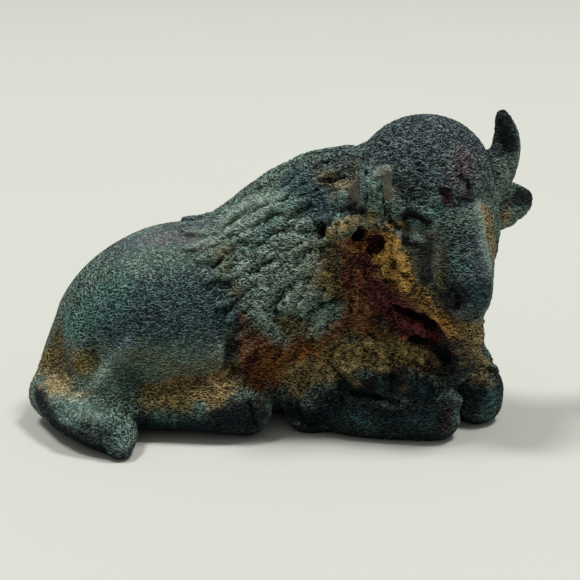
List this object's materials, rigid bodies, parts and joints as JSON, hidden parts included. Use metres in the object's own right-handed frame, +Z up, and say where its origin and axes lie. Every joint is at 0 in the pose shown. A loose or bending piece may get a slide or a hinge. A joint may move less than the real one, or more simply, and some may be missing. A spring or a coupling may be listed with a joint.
{
  "type": "bison figurine",
  "caption": "Raku-fired ceramic figurine of a lying American bison, head turned to its right, with a combed woolly cape, short horns, a beard and folded legs.",
  "frame": {"origin": "middle of the footprint's box, on the ground plane under the figure", "axes": "+Z up, +X from the rump towards the animal's chest, +Y to the animal's left, the side its head is turned away from"},
  "size_m": [0.1816, 0.0886, 0.111],
  "materials": {
    "raku_glaze": "smoked raku glaze, matt grey green and blue with satin patches and reddened hollows"
  },
  "bodies": {
    "root": {"bison": "raku_glaze"}
  },
  "joints": []
}
